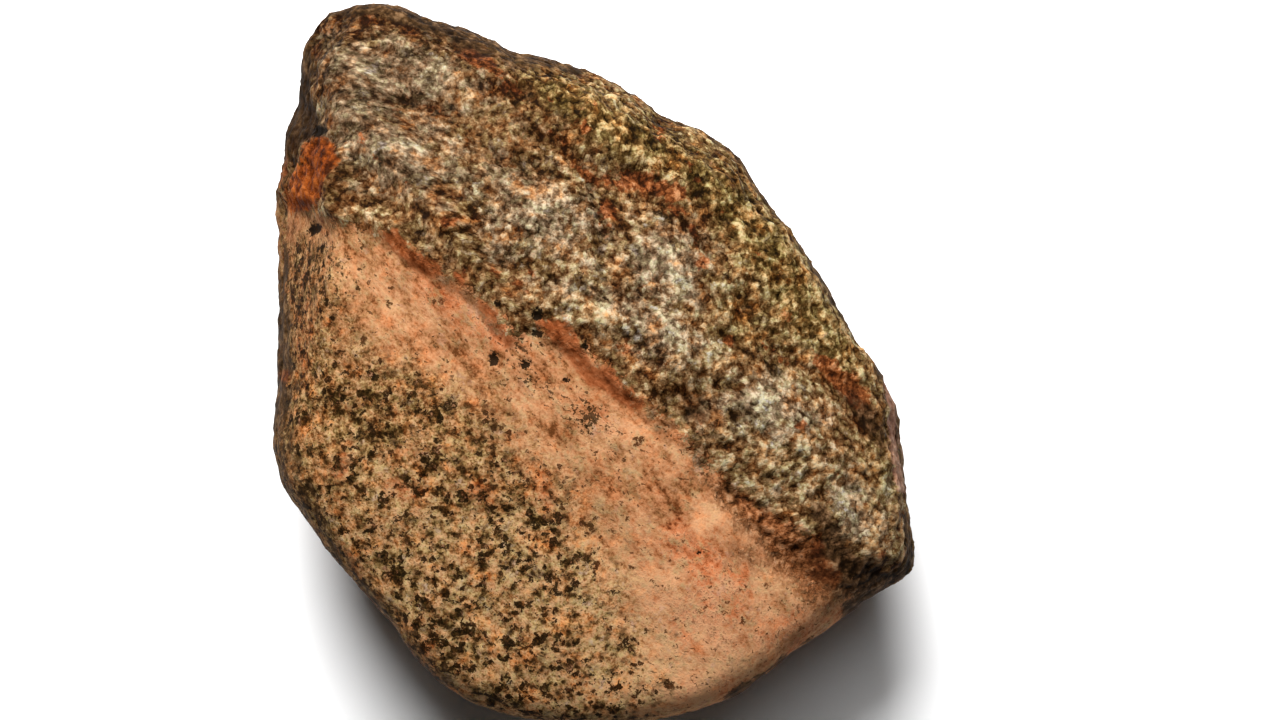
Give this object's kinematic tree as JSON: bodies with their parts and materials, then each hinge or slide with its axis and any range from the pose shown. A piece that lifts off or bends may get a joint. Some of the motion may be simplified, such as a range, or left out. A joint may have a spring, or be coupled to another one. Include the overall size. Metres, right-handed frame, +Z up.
{
  "type": "martian meteorite",
  "caption": "Broken, weathered stone with a rough crystalline half, a smooth salmon face and a speckled tan face, lying on a small flat spot.",
  "frame": {"origin": "on the plane the stone rests on, in the middle of its outline seen from above", "axes": "+X along the stone's longest direction, +Y across it towards the rough crystalline flank, +Z up, towards the face that the picture shows"},
  "size_m": [0.375, 0.2664, 0.1525],
  "materials": {
    "stone": "matte"
  },
  "bodies": {
    "root": {"stone": "stone"}
  },
  "joints": []
}
